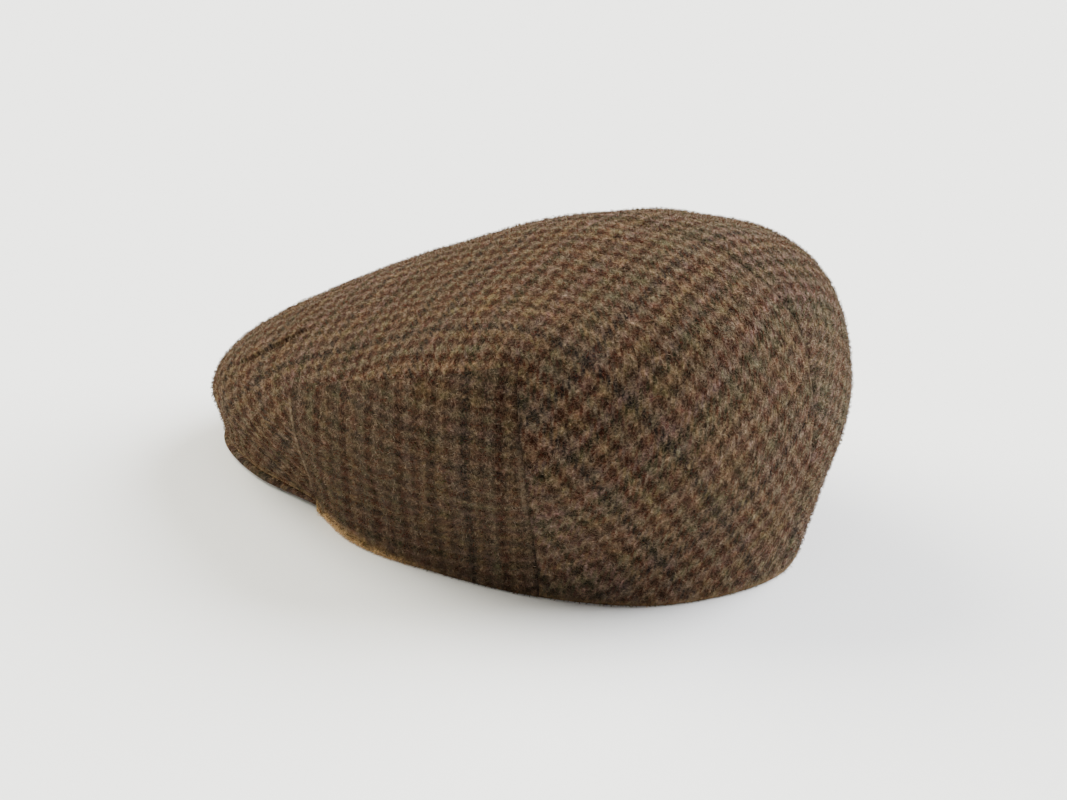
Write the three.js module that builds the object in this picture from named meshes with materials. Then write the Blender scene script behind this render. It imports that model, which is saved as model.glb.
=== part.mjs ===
// A flat cap in checked tweed. The crown is sewn from two top halves, which meet in a seam from front to
// back, and two side panels set in between the temple and the back of the ear. Its front is drawn down over
// a short stiff peak. Millimetres, +Z up, peak towards -Y, the wearer's left towards +X, hem on z = 0.
import * as THREE from 'three';

// Driving dimensions
const CLOTH = 2; // wall of the crown: tweed turned over at the seams
const SEAM_GAP = 0.3; // clearance between neighbouring pieces
const SEAM_DIP = 0.8; // how far a seam draws the cloth in
const SEAM_REACH = 0.16; // width of that draw, in sections along the cloth
const HEAD_HALF_WIDTH = 77; // opening for the head, an oval
const HEAD_HALF_LENGTH = 96;
const BAND_SHARE = 0.4; // the band's angle lies at this share of the way from the hem's to the belly's
const CROWN_SHARE = 0.55; // the crown ring lies at this share of the way from the apex to the shoulder
const APEX_BACK = 28; // highest point of the crown, behind the middle of the head
const APEX_UP = 118;
const PEAK_LIP = 1; // the peak shows this far past the crown's front edge, less towards its corners
const PEAK_RISE = 12; // the peak climbs this far from its edge to the forehead
const PEAK_LIFT = 2.4; // its corners lie this far above the floor
const PEAK_ROUND = 1.5; // rounding of its edge
const PEAK_END = 2.95; // its corners lie this many sections either side of the front

// Upright sections of the left half, from the middle of the front round to the middle of the back. Each
// gives the reach from the middle of the head (Out) and the height (Up) of the rings that the cloth passes
// through; bandUp, the height of the steep band, is counted from the hem. A section may lean and bow: its
// angle from the front is hemAngle at the hem, bellyAngle at the belly and topAngle from the shoulder up.
const COLUMNS = [
  'hemAngle', 'bellyAngle', 'topAngle', 'hemOut', 'hemUp', 'bandOut', 'bandUp',
  'bellyOut', 'bellyUp', 'shoulderOut', 'shoulderUp', 'crownUp',
];
const SECTIONS = {
  front: [0, 0, 0, 138.5, 5, 140, 12, 141.5, 28, 128, 44, 86.5],
  brow: [13, 13, 13, 133.5, 5, 136, 12, 138, 28, 126, 45, 87.5],
  nose: [28, 28, 28, 112, 5, 119, 12, 126, 30, 115.5, 49, 90],
  temple: [46, 54, 51, 88.2, 4, 93, 13, 101.6, 40.7, 100.5, 56, 95],
  earFront: [66, 67, 68, 84.5, 0, 89, 15, 98, 46, 93, 66, 100.5],
  ear: [90, 90, 90, 79, 0, 85.5, 17, 100, 52, 94.5, 78.5, 106],
  earBack: [120, 116, 113, 83.5, 0, 91, 20, 105.5, 53, 97.5, 91, 109.5],
  nape: [148, 148, 148, 93.5, 0, 100, 23, 108.5, 56, 95.5, 96.5, 114],
  back: [180, 180, 180, 99, 0, 103, 23, 107, 55, 96, 96, 115],
};
const SECTION_NAMES = Object.keys(SECTIONS);
const LEFT_HALF = SECTION_NAMES.map((name) => (
  Object.fromEntries(COLUMNS.map((column, i) => [column, SECTIONS[name][i]]))
));
const HALF_TURN = SECTION_NAMES.length - 1; // sections from the front to the back
const FULL_TURN = 2 * HALF_TURN;
const TEMPLE = SECTION_NAMES.indexOf('temple');
const EAR_BACK = SECTION_NAMES.indexOf('earBack');

// Levels of the rings, from the hem up
const HEM = 0;
const SHOULDER = 3;
const APEX = 5;

// Mesh steps
const STEPS_PER_SECTION = 5;
const STEPS_PER_LEVEL = [2, 4, 4, 5, 4];
const PEAK_STEPS = 14;
const PEAK_CLIMB_STEPS = 4;

function polar(angle, out, up) {
  const a = THREE.MathUtils.degToRad(angle);
  return new THREE.Vector3(out * Math.sin(a), -out * Math.cos(a), up);
}

const apexPoint = new THREE.Vector3(0, APEX_BACK, APEX_UP);

function bandPoint(section) {
  const angle = THREE.MathUtils.lerp(section.hemAngle, section.bellyAngle, BAND_SHARE);
  return polar(angle, section.bandOut, section.hemUp + section.bandUp);
}

function crownPoint(section) {
  const shoulder = polar(section.topAngle, section.shoulderOut, section.crownUp);
  const point = apexPoint.clone().lerp(shoulder, CROWN_SHARE);
  point.z = section.crownUp;
  return point;
}

// A closed ring round the cap through one point of every section, the right half mirrored from the left.
function ringCurve(pointOf) {
  const left = LEFT_HALF.map(pointOf);
  const right = left.slice(1, -1).reverse().map((p) => new THREE.Vector3(-p.x, p.y, p.z));
  return new THREE.CatmullRomCurve3([...left, ...right], true, 'centripetal');
}

const rings = [
  ringCurve((s) => polar(s.hemAngle, s.hemOut, s.hemUp)),
  ringCurve(bandPoint),
  ringCurve((s) => polar(s.bellyAngle, s.bellyOut, s.bellyUp)),
  ringCurve((s) => polar(s.topAngle, s.shoulderOut, s.shoulderUp)),
  ringCurve(crownPoint),
];

function onRing(ring, turn) {
  return ring.getPoint(THREE.MathUtils.euclideanModulo(turn / FULL_TURN, 1));
}

// The outer face of the crown before any seam: turn counts sections from the front, level counts rings. Each
// profile runs on past the apex as its own reflection, so that the top is level there.
function smoothPoint(turn, level) {
  const stations = rings.map((ring) => onRing(ring, turn));
  const crown = stations[stations.length - 1];
  const beyond = new THREE.Vector3(-crown.x, 2 * apexPoint.y - crown.y, crown.z);
  const profile = new THREE.CatmullRomCurve3([...stations, apexPoint, beyond], false, 'centripetal');
  return profile.getPoint(level / (APEX + 1));
}

function smoothNormal(turn, level) {
  if (level === APEX) {
    return new THREE.Vector3(0, 0, 1);
  }
  const step = 0.01;
  const along = smoothPoint(turn + step, level).sub(smoothPoint(turn - step, level));
  const low = Math.max(level - step, HEM);
  const climb = smoothPoint(turn, level + step).sub(smoothPoint(turn, low));
  const normal = along.cross(climb);
  if (level === HEM) {
    normal.z = 0; // the hem is turned square to the floor
  }
  return normal.normalize();
}

// Depth of the draw along the seams: front to back over the middle, and down both edges of the side panels.
function seamDip(turn, level) {
  const fromFront = Math.abs(THREE.MathUtils.euclideanModulo(turn + HALF_TURN, FULL_TURN) - HALF_TURN);
  const draw = (distance) => Math.exp(-((distance / SEAM_REACH) ** 2));
  const fadeAtApex = THREE.MathUtils.smoothstep(APEX - level, 0, 1);
  const middle = Math.max(draw(fromFront), draw(fromFront - HALF_TURN)) * fadeAtApex;
  const edges = Math.max(draw(fromFront - TEMPLE), draw(fromFront - EAR_BACK));
  const sides = level < SHOULDER ? edges * THREE.MathUtils.smoothstep(SHOULDER - level, 0, 0.5) : 0;
  return SEAM_DIP * Math.max(middle, sides) * THREE.MathUtils.smoothstep(level, HEM, 1);
}

// A point of the crown's wall: depth 0 on its outer face, depth 1 on its inner face.
function wallPoint(turn, level, depth) {
  const inward = seamDip(turn, level) + CLOTH * depth;
  const point = smoothPoint(turn, level).addScaledVector(smoothNormal(turn, level), -inward);
  point.z = Math.max(point.z, 0);
  return point;
}

// The side panel hangs to the floor at the temple too, past the crown's edge that is raised over the peak.
function hangingPoint(turn, level, depth) {
  const point = wallPoint(turn, level, depth);
  const raised = Math.max(onRing(rings[HEM], turn).z, 0);
  point.z = Math.max(point.z - raised * Math.max(1 - level, 0), 0);
  return point;
}

function geometryFrom(positions, index) {
  const geometry = new THREE.BufferGeometry();
  geometry.setAttribute('position', new THREE.Float32BufferAttribute(positions, 3));
  geometry.setIndex(index);
  geometry.computeVertexNormals();
  return geometry;
}

// A closed shell over a grid of the crown: every kept cell has an outer and an inner face, and a wall along
// each side where its neighbour is missing.
function shellGeometry(turns, levels, isCut, pointAt) {
  const positions = [];
  const index = [];
  const made = new Map();
  const vertex = (i, j, depth) => {
    const key = [levels[j] === APEX ? 0 : i, j, depth].join();
    if (!made.has(key)) {
      made.set(key, positions.length / 3);
      positions.push(...pointAt(turns[i], levels[j], depth).toArray());
    }
    return made.get(key);
  };
  const face = (corners) => {
    const loop = corners.filter((corner, k) => corner !== corners[(k + 1) % corners.length]);
    for (let k = 2; k < loop.length; k++) {
      index.push(loop[0], loop[k - 1], loop[k]);
    }
  };
  const kept = (i, j) => {
    const inside = i >= 0 && j >= 0 && i < turns.length - 1 && j < levels.length - 1;
    return inside && !isCut((turns[i] + turns[i + 1]) / 2, (levels[j] + levels[j + 1]) / 2);
  };
  for (let i = 0; i < turns.length - 1; i++) {
    for (let j = 0; j < levels.length - 1; j++) {
      if (!kept(i, j)) {
        continue;
      }
      const corners = [[i, j], [i + 1, j], [i + 1, j + 1], [i, j + 1]];
      const neighbours = [[i, j - 1], [i + 1, j], [i, j + 1], [i - 1, j]];
      const outer = corners.map(([a, b]) => vertex(a, b, 0));
      const inner = corners.map(([a, b]) => vertex(a, b, 1));
      face(outer);
      face([inner[0], inner[3], inner[2], inner[1]]);
      neighbours.forEach(([a, b], from) => {
        const to = (from + 1) % corners.length;
        if (!kept(a, b)) {
          face([outer[to], outer[from], inner[from], inner[to]]);
        }
      });
    }
  }
  return geometryFrom(positions, index);
}

// A closed skin through equal closed loops. Each loop runs out along the underside and back along the top, so
// its two ends are closed by rungs between those runs.
function loftGeometry(loops) {
  const size = loops[0].length;
  const last = (loops.length - 1) * size;
  const index = [];
  for (let i = 0; i < last; i += size) {
    for (let j = 0; j < size; j++) {
      const a = i + j;
      const b = i + (j + 1) % size;
      index.push(a, b + size, b, a, a + size, b + size);
    }
  }
  for (let k = 0; k < size - 2 - k; k++) {
    const rung = [k, k + 1, size - 2 - k, size - 1 - k];
    index.push(rung[0], rung[1], rung[3]);
    index.push(last + rung[3], last + rung[1], last + rung[0]);
    if (rung[1] !== rung[2]) {
      index.push(rung[1], rung[2], rung[3]);
      index.push(last + rung[3], last + rung[2], last + rung[1]);
    }
  }
  return geometryFrom(loops.flat().flatMap((p) => p.toArray()), index);
}

function range(from, to, steps) {
  return Array.from({ length: steps + 1 }, (_, i) => THREE.MathUtils.lerp(from, to, i / steps));
}

function levelRange(from, to) {
  const spans = STEPS_PER_LEVEL.slice(from, to);
  const levels = spans.flatMap((steps, k) => range(from + k, from + k + 1, steps).slice(0, -1));
  return [...levels, to];
}

// Top half: the cloth from the middle seam out to the hem, less the place of the side panel.
function topHalf() {
  const isSidePanel = (turn, level) => turn > TEMPLE && turn < EAR_BACK && level < SHOULDER;
  const turns = range(0, HALF_TURN, HALF_TURN * STEPS_PER_SECTION);
  return shellGeometry(turns, levelRange(HEM, APEX), isSidePanel, wallPoint);
}

// Side panel: the block left open in the top half, drawn in by the seam gap along its three sewn edges.
function sidePanel() {
  const width = smoothPoint(TEMPLE, 1).distanceTo(smoothPoint(EAR_BACK, 1)) / (EAR_BACK - TEMPLE);
  const height = smoothPoint(TEMPLE, 2).distanceTo(smoothPoint(TEMPLE, SHOULDER));
  const turns = range(TEMPLE, EAR_BACK, (EAR_BACK - TEMPLE) * STEPS_PER_SECTION);
  turns[0] += SEAM_GAP / width;
  turns[turns.length - 1] -= SEAM_GAP / width;
  const levels = levelRange(HEM, SHOULDER);
  levels[levels.length - 1] -= SEAM_GAP / height;
  return shellGeometry(turns, levels, () => false, hangingPoint);
}

// Peak: a stiff crescent under the crown's front edge, bowed so that its corners lift a little, climbing from
// its edge to the forehead.
function peakSection(turn) {
  const hem = onRing(rings[HEM], turn);
  const angle = Math.atan2(hem.x, -hem.y);
  const hemOut = Math.hypot(hem.x, hem.y);
  const toCorner = (turn / PEAK_END) ** 2;
  const edge = hemOut + PEAK_LIP * (1 - toCorner);
  const under = hemOut - CLOTH;
  const wide = HEAD_HALF_LENGTH * Math.sin(angle);
  const long = HEAD_HALF_WIDTH * Math.cos(angle);
  const forehead = HEAD_HALF_WIDTH * HEAD_HALF_LENGTH / Math.hypot(wide, long);
  const lift = PEAK_LIFT * toCorner;
  const thick = hem.z - SEAM_GAP - lift;
  const rise = PEAK_RISE * (1 - toCorner);
  const climb = range(0, 1, PEAK_CLIMB_STEPS).map((share) => ({
    out: THREE.MathUtils.lerp(under, forehead, share),
    up: lift + rise * THREE.MathUtils.smoothstep(share, 0, 1),
  }));
  const at = (out, up) => polar(THREE.MathUtils.radToDeg(angle), out, up);
  return [
    ...climb.map((c) => at(c.out, c.up)).reverse(),
    at(edge - PEAK_ROUND, lift),
    at(edge, lift + thick / 2),
    at(edge - PEAK_ROUND, lift + thick),
    ...climb.map((c) => at(c.out, c.up + thick)),
  ];
}

function cloth(name, geometry, color) {
  const material = new THREE.MeshStandardMaterial({ color, roughness: 0.95, metalness: 0 });
  const mesh = new THREE.Mesh(geometry, material);
  mesh.name = name;
  return mesh;
}

function mirrored(geometry) {
  const copy = geometry.clone();
  copy.scale(-1, 1, 1);
  const order = Array.from(copy.getIndex().array);
  copy.setIndex(order.map((_, i) => order[i - (i % 3) + 2 - (i % 3)]));
  copy.computeVertexNormals();
  return copy;
}

const leftGroup = new THREE.Group();
leftGroup.position.x = SEAM_GAP / 2;
const rightGroup = new THREE.Group();
rightGroup.position.x = -SEAM_GAP / 2;
const topGeometry = topHalf();
const sideGeometry = sidePanel();
leftGroup.add(cloth('top_left', topGeometry, 0x6f5840), cloth('side_left', sideGeometry, 0x5f4a36));
rightGroup.add(
  cloth('top_right', mirrored(topGeometry), 0x6f5840),
  cloth('side_right', mirrored(sideGeometry), 0x5f4a36),
);

const peakLoops = range(-PEAK_END, PEAK_END, 2 * PEAK_STEPS).map(peakSection);
const [front] = LEFT_HALF;
const back = LEFT_HALF[HALF_TURN];
const cap = new THREE.Group();
cap.position.y = (front.bellyOut - back.bellyOut) / 2; // the middle of the cap's length over the origin
cap.add(leftGroup, rightGroup, cloth('peak', loftGeometry(peakLoops), 0x574433));

export default cap;
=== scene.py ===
import math

import bpy
import numpy as np
from mathutils import Matrix, Vector


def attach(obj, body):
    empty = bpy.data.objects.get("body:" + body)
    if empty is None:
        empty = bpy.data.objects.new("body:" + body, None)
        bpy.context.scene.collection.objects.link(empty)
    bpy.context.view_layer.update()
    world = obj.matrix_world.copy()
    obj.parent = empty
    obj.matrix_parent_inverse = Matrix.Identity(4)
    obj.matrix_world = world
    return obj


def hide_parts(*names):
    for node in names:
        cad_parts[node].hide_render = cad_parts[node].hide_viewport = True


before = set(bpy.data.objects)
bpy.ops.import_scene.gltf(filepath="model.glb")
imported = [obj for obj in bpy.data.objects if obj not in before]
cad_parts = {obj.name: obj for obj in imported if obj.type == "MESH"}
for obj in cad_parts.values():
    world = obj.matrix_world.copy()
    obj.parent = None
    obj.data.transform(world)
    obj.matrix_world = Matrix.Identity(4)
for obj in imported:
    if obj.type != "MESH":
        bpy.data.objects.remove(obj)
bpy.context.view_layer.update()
print("frame loaded")


# lengths in this script are millimetres until a mesh is written
# a place on the crown is a turn (sections passed, from the front) and a level (rings passed, from the hem)
crownShape = {
    # angles at hem, belly and top; out and up of hem, band (up from the hem), belly, shoulder; up of crown
    "sections": [
        ("front", 0, 0, 0, 138.5, 5, 140, 12, 141.5, 28, 128, 44, 86.5),
        ("brow", 13, 13, 13, 133.5, 5, 136, 12, 138, 28, 126, 45, 87.5),
        ("nose", 28, 28, 28, 112, 5, 119, 12, 126, 30, 115.5, 49, 90),
        ("temple", 46, 54, 51, 88.2, 4, 93, 13, 101.6, 40.7, 100.5, 56, 95),
        ("earFront", 66, 67, 68, 84.5, 0, 89, 15, 98, 46, 93, 66, 100.5),
        ("ear", 90, 90, 90, 79, 0, 85.5, 17, 100, 52, 94.5, 78.5, 106),
        ("earBack", 120, 116, 113, 83.5, 0, 91, 20, 105.5, 53, 97.5, 91, 109.5),
        ("nape", 148, 148, 148, 93.5, 0, 100, 23, 108.5, 56, 95.5, 96.5, 114),
        ("back", 180, 180, 180, 99, 0, 103, 23, 107, 55, 96, 96, 115),
    ],
    "bandShare": 0.4,
    "crownShare": 0.55,
    "apexBack": 28,
    "apexUp": 118,
    "shiftBack": 17.25,  # middle of the head, behind the frame's origin
    "levelSpans": (14, 40, 42, 52, 70),  # rough heights between the rings
    "hemSquare": (-2, 5),  # up from the hem, where the wall stands square to the floor
}
temple, earBack, halfTurn = 3, 6, 8  # turns of the side seams and of the back
shoulder, apexLevel = 3, 5
farAway = 1e3


def placed(name, data):
    thing = bpy.data.objects.new(name, data)
    bpy.context.scene.collection.objects.link(thing)
    return thing


def spanCurve(p0, p1, p2, p3, t):  # centripetal curve between p1 and p2
    def knot(a, b):
        return np.maximum(((a - b) ** 2).sum(-1, keepdims=True) ** 0.25, 1e-4)
    d0, d1, d2 = knot(p0, p1), knot(p1, p2), knot(p2, p3)
    t1 = ((p1 - p0) / d0 - (p2 - p0) / (d0 + d1) + (p2 - p1) / d1) * d1
    t2 = ((p2 - p1) / d1 - (p3 - p1) / (d1 + d2) + (p3 - p2) / d2) * d1
    return p1 + t1 * t + (-3 * p1 + 3 * p2 - 2 * t1 - t2) * t * t + (2 * p1 - 2 * p2 + t1 + t2) * t ** 3


def smooth(x, low, high):
    t = np.clip((x - low) / (high - low), 0, 1)
    return t * t * (3 - 2 * t)


def bell(away, reach):
    return np.exp(-(away / reach) ** 2)


def closedRing(angles, outs, ups):
    a = np.radians(angles)
    left = np.stack([outs * np.sin(a), -outs * np.cos(a), ups], 1)
    return np.concatenate([left, left[1:-1][::-1] * np.array([-1, 1, 1])])


def crownRings(c):
    table = np.array([row[1:] for row in c["sections"]], float)
    hemA, bellyA, topA, hemO, hemU, bandO, bandU, bellyO, bellyU, shoulderO, shoulderU, crownU = table.T
    rings = [
        closedRing(hemA, hemO, hemU),
        closedRing(hemA + (bellyA - hemA) * c["bandShare"], bandO, hemU + bandU),
        closedRing(bellyA, bellyO, bellyU),
        closedRing(topA, shoulderO, shoulderU),
    ]
    apex = np.array([0, c["apexBack"], c["apexUp"]])
    crown = apex + (rings[shoulder] - apex) * c["crownShare"]
    crown[:, 2] = np.concatenate([crownU, crownU[1:-1][::-1]])
    return rings + [crown], apex


rings, apexPoint = crownRings(crownShape)


def ringAt(ring, turns):
    base = np.floor(turns).astype(int)
    n = len(ring)
    return spanCurve(ring[(base - 1) % n], ring[base % n], ring[(base + 1) % n], ring[(base + 2) % n],
                     (turns - base)[:, None])


def crownGrid(turns, levels):  # outer face before seams, one row of points per turn
    stations = [ringAt(ring, turns) for ring in rings]
    apex = np.tile(apexPoint, (len(turns), 1))
    beyond = 2 * apex - stations[-1]
    beyond[:, 2] = stations[-1][:, 2]
    ctrl = [2 * stations[0] - stations[1]] + stations + [apex, beyond]
    grid = np.empty((len(turns), len(levels), 3))
    for j, level in enumerate(levels):
        i = min(int(level), apexLevel - 1)
        grid[:, j] = spanCurve(ctrl[i], ctrl[i + 1], ctrl[i + 2], ctrl[i + 3], level - i)
    return grid


def crownFrame(turns, levels):  # points, normals, and millimetres per turn and per level
    nudge = 0.004
    low, high = np.maximum(levels - nudge, 0), np.minimum(levels + nudge, apexLevel)
    along = (crownGrid(turns + nudge, levels) - crownGrid(turns - nudge, levels)) / (2 * nudge)
    climb = (crownGrid(turns, high) - crownGrid(turns, low)) / (high - low)[None, :, None]
    normal = np.cross(along, climb)
    normal[:, levels >= apexLevel] = (0, 0, 1)
    climbLength = np.linalg.norm(climb, axis=2)
    normal[:, :, 2] *= smooth(levels[None, :] * climbLength, *crownShape["hemSquare"])
    normal /= np.linalg.norm(normal, axis=2, keepdims=True)
    return crownGrid(turns, levels), normal, np.linalg.norm(along, axis=2), climbLength


# rows of points: even steps, with closer ones beside the sewn edges
pointRows = {
    "beside": (0.25, 0.6, 1.1, 1.8, 2.7),  # away from a sewn edge
    "closest": 0.2,
    "merged": 0.12,  # a row this near to a sewn edge moves onto it
    "thinned": 0.3,  # share of a closer step that is too near
}


def withEdges(start, stop, step, edges, span):  # span is the rough size of one turn or level
    r = pointRows
    count = max(1, int(round((stop - start) * span / step)))
    values = list(np.linspace(start, stop, count + 1))
    for edge in edges:
        for away in r["beside"]:
            values += [edge - away / span, edge + away / span]
    values = np.unique(np.round([v for v in values if start <= v <= stop], 6))
    keep = [values[0]]
    for v in values[1:]:
        near = (v - keep[-1]) * span
        fixed = any(abs(v - edge) < 1e-6 for edge in edges) or v == values[-1]
        if fixed and near < r["merged"]:
            keep[-1] = v
        elif fixed or near > r["closest"]:
            keep.append(v)
    return np.array(keep)


def closerSteps(values, low, high, step):
    between = np.concatenate([[low], values[(values > low) & (values < high)], [high]])
    gaps = zip(between[:-1], between[1:])
    added = [np.linspace(a, b, int(math.ceil((b - a) / step)) + 1) for a, b in gaps]
    values = np.unique(np.round(np.concatenate([values, *added]), 6))
    return values[np.concatenate([[True], np.diff(values) > step * pointRows["thinned"]])]


def levelRows(step, top):
    rows, reach = [], 0.2  # a sewn edge just past a level draws its rows closer too
    for k in range(top):
        edges = [edge for edge in (0, shoulder) if k - reach < edge < k + 1 + reach]
        rows.append(withEdges(k, k + 1, step, edges, crownShape["levelSpans"][k]))
    return np.unique(np.round(np.concatenate(rows), 6))


def coarseGrid(start, stop, panel):  # for laying the cloth flat
    turns = np.linspace(start, stop, (stop - start) * panel["coarsePerSection"] + 1)
    rows = [np.linspace(k, k + 1, count, endpoint=False) for k, count in enumerate(panel["coarseRows"])]
    return turns, np.concatenate(rows + [[float(len(rows))]])


# seams, hem and the soft hand of the cloth
clothShape = {
    "thick": 2.2,
    "seamGap": 0.1,
    "middleGap": 0.01,
    "middleSeam": (0.5, 1.2),  # how far the sewn edge rolls in, and the reach of that roll
    "sideSeam": (0.55, 1.0),
    "shoulderRoll": 0.15,  # the shoulder seam is pressed flat
    "pressedFrom": 0.3,  # levels below the shoulder
    "seamDraw": (0.3, 8),  # broad hollow beside a seam, and its reach
    "softness": 0.3,  # uneven hand of the cloth
    "softWaves": ((0.65, 46, 3), (0.35, 17, 5)),  # share, length and seed
    "pucker": (0.22, 5),  # of the cloth beside a seam, and its reach
    "puckerWaves": (7, 11),  # length and seed
    "softUp": (0, 10),  # up from the hem, where the waves grow to their full height
    "drawUp": (0, 5),  # and the seams to their full depth
    "hemRound": 1.0,
    "allowance": (0.7, 6.5, 8),  # pressed open inside: how thick, and where its edge falls away
    "hemTurn": (0.6, 18, 19.5),  # turned up inside
    "hemTurnUp": (0, 2),
    "valley": (0.8, 0.7),  # shade in the middle seam and the side seams
    "wander": (0.5, 34),  # how far the grain of worn cloth strays, and over what length
}

handWaves = {"count": 7, "lengths": (0.7, 1.4), "phases": (0, 7), "calm": 2.6}


def unevenHand(points, length, seed):  # smooth waves that every panel shares
    w = handWaves
    rng = np.random.default_rng(seed)
    total = np.zeros(points.shape[:-1])
    for _ in range(w["count"]):
        way = rng.normal(size=3)
        way /= np.linalg.norm(way)
        waveLength = length * rng.uniform(*w["lengths"])
        total += np.sin(points @ way * 2 * math.pi / waveLength + rng.uniform(*w["phases"]))
    return total / w["calm"]


def seamDistance(turns, levels, along, climb, points, isSide):  # to the middle seam, and to the side seams
    t, v = turns[:, None], levels[None, :]
    if isSide:
        side = np.minimum(np.minimum((t - temple) * along, (earBack - t) * along), (shoulder - v) * climb)
        return np.full_like(side, farAway), np.maximum(side, 0)
    across = np.maximum(np.maximum(temple - t, t - earBack), 0) * along
    over = np.maximum(v - shoulder, 0) * climb
    return np.abs(points[:, :, 0]), np.hypot(across, over)


# fold of the cloth over the brow: the upper side stands as a lip over the lower
browFold = {
    "path": [(1.55, 2.53), (1.90, 2.80), (2.12, 3.04), (2.26, 3.25), (2.30, 3.39), (2.28, 3.45)],
    "pathSteps": 61,
    "deepens": (0.05, 0.4),  # shares of the path
    "fades": (0.6, 0.97),
    "step": (-0.6, 0.8),  # across the fold, from the lower side to the lip
    "depth": (1.1, 1.6),  # of the lower side, and its reach
    "lip": (0.75, 3.2),
    "shade": (1.1, 0.9),
    "shadeBelow": 0.2,
}


def foldDistance(points, turns, levels):  # positive above the fold, and how deep it is there
    f = browFold
    knots = np.linspace(0, 1, len(f["path"]))
    share = np.linspace(0, 1, f["pathSteps"])
    t, v = (np.interp(share, knots, column) for column in np.array(f["path"]).T)
    path = np.stack([crownGrid(t[k:k + 1], v[k:k + 1])[0, 0] for k in range(len(share))])
    wayT, wayV = np.gradient(t), np.gradient(v)
    nearest = np.full(points.shape[:2], farAway)
    depth = np.zeros(points.shape[:2])
    above = np.ones(points.shape[:2])
    for k, s in enumerate(share):
        away = np.linalg.norm(points - path[k], axis=2)
        closer = away < nearest
        nearest[closer] = away[closer]
        side = wayT[k] * (levels[None, :] - v[k]) - wayV[k] * (turns[:, None] - t[k])
        above[closer] = np.where(side < 0, -1, 1)[closer]
        depth[closer] = smooth(s, *f["deepens"]) * (1 - smooth(s, *f["fades"]))
    return nearest * above, depth


def foldForm(points, turns, levels):  # how far the cloth is lifted, and the shade in the fold
    f = browFold
    away, depth = foldDistance(points, turns, levels)
    upper = smooth(away, *f["step"])
    lift = f["lip"][0] * upper * bell(away, f["lip"][1])
    lift -= f["depth"][0] * (1 - upper) * bell(away, f["depth"][1])
    return depth * lift, f["shade"][0] * (depth * bell(away + f["shadeBelow"], f["shade"][1]))


# painted highlight: pale edges of the cloth beside two seams; and the frayed hem in front of the ear
seamHighlightAndFray = {
    "beforeTemple": {"pale": 0.55, "away": 0.8, "reach": 0.5, "starts": (0.3, 0.8), "ends": (2.5, 2.9)},
    "behindEar": {"pale": 0.3, "away": 1.4, "reach": 1.0, "starts": (1.4, 1.8), "ends": (2.1, 2.4)},
    "frayEnds": (4.3, 5.3),  # turns
    "topHem": 0.25,  # how frayed the hem of the top halves is
    "frayReach": (1.4, 2.0),  # everywhere, and more where it is frayed
    "frayed": (0.15, 0.85),
    "ragged": (0.45, 5, 17),  # amount, length and seed
}


# painted highlight: the cloth is drawn pale along the edge beside the temple seam and beside the seam behind
# the ear
def paintedSeamHighlight(turns, levels, along, isSide):
    edge = seamHighlightAndFray["behindEar" if isSide else "beforeTemple"]
    t, v = turns[:, None], levels[None, :]
    away = ((earBack if isSide else temple) - t) * along
    pale = edge["pale"] * bell(away - edge["away"], edge["reach"])
    return pale * smooth(v, *edge["starts"]) * (1 - smooth(v, *edge["ends"]))


def frayedHem(points, turns, hem, isSide):
    w = seamHighlightAndFray
    frontHem = 1 - smooth(turns, *w["frayEnds"])[:, None] if isSide else np.full_like(hem, w["topHem"])
    amount, length, seed = w["ragged"]
    ragged = 1 + amount * unevenHand(points, length, seed)
    reach = w["frayReach"][0] + w["frayReach"][1] * frontHem * ragged
    return bell(hem, reach) * (w["frayed"][0] + w["frayed"][1] * frontHem)


def clothShell(turns, levels, isSide):  # outer and inner face, and where painted shade, painted highlight and the frayed hem go
    c = clothShape
    points, normal, along, climb = crownFrame(turns, levels)
    middle, side = seamDistance(turns, levels, along, climb, points, isSide)
    nearest = np.minimum(middle, side)
    hem = levels[None, :] * climb
    pressed = smooth(levels, shoulder - c["pressedFrom"], shoulder)[None, :]
    middleRoll, sideRoll = bell(middle, c["middleSeam"][1]), bell(side, c["sideSeam"][1])
    foldLift, foldShade = foldForm(points, turns, levels)
    sideDip = c["sideSeam"][0] + (c["shoulderRoll"] - c["sideSeam"][0]) * pressed
    draw = np.maximum(c["middleSeam"][0] * middleRoll, sideDip * sideRoll)
    draw += c["seamDraw"][0] * bell(nearest, c["seamDraw"][1])
    draw -= foldLift
    draw *= smooth(hem, *c["drawUp"])
    soft = c["softness"] * sum(share * unevenHand(points, *wave) for share, *wave in c["softWaves"])
    soft += c["pucker"][0] * unevenHand(points, *c["puckerWaves"]) * bell(nearest, c["pucker"][1])
    soft *= smooth(hem, *c["softUp"])
    bend = c["hemRound"]
    turned = np.where(hem < bend, bend - np.sqrt(np.maximum(bend ** 2 - (bend - hem) ** 2, 0)), 0)
    outer = points + normal * (soft - draw - turned)[:, :, None]
    seamRidge = c["allowance"][0] * (1 - smooth(nearest, *c["allowance"][1:]))
    hemRidge = c["hemTurn"][0] * (1 - smooth(hem, *c["hemTurn"][1:]))
    ridge = np.maximum(seamRidge, hemRidge) * smooth(hem, *c["hemTurnUp"])
    inner = points + normal * (soft - draw - c["thick"] - ridge + turned)[:, :, None]
    if isSide:  # the side panel hangs to the floor at the temple too
        raised = np.maximum(ringAt(rings[0], turns)[:, 2:], 0) * np.maximum(1 - levels, 0)[None, :]
        outer[:, :, 2] -= raised
        inner[:, :, 2] -= raised
    for face in (outer, inner):
        face[:, :, 2] = np.maximum(face[:, :, 2], 0)
    # painted shade in the seam valleys; the painted shade in the brow fold joins it below
    valley = np.maximum(c["valley"][0] * middleRoll, c["valley"][1] * sideRoll * (1 - pressed))
    frayed = frayedHem(points, turns, hem, isSide)
    sewn = np.stack([np.maximum(valley, foldShade), frayed, paintedSeamHighlight(turns, levels, along, isSide)], 2)
    return outer, inner, sewn


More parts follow.
